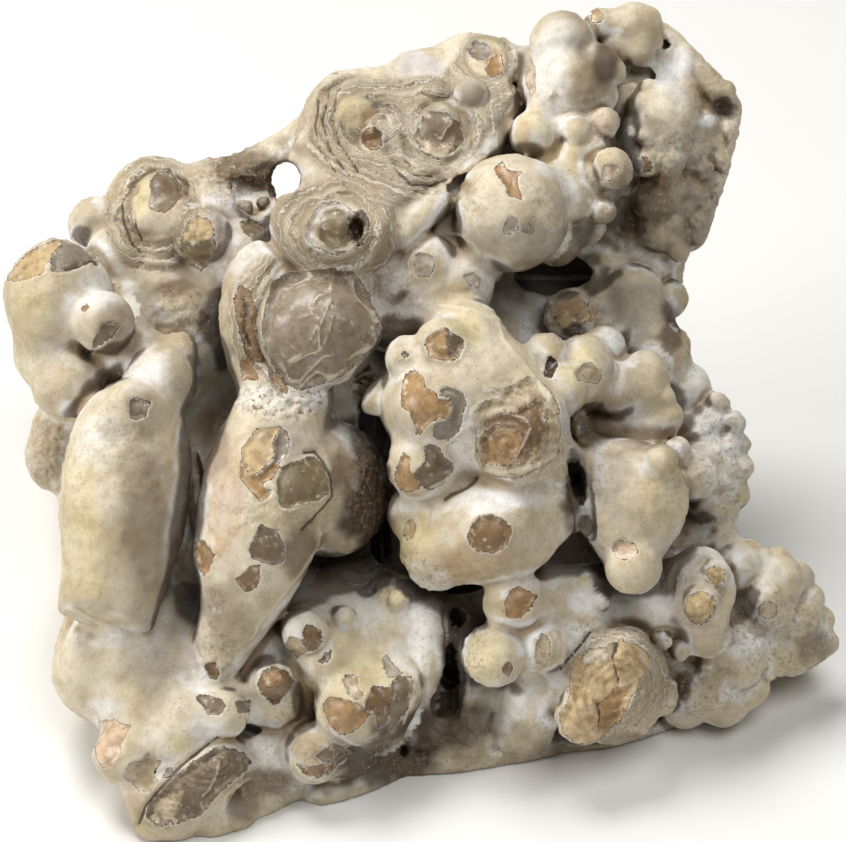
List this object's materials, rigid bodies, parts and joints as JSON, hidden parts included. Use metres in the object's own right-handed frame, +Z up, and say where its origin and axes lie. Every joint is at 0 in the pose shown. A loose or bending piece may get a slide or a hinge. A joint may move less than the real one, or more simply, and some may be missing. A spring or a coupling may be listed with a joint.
{
  "type": "stalactite",
  "caption": "Broken block of fused knobbly cave stalactites with snapped ring ends, peeled layers and a flat cut base.",
  "frame": {"origin": "centre of the bounding box's footprint, on the flat cut base", "axes": "+Z up from the flat cut, X along the block's longest side, the knobbly show face looks towards -Y and up"},
  "size_m": [0.1526, 0.1174, 0.106],
  "materials": {
    "flowstone": "chalky white and cream crust over smooth tan and amber layers"
  },
  "bodies": {
    "root": {"stalactite": "flowstone"}
  },
  "joints": []
}
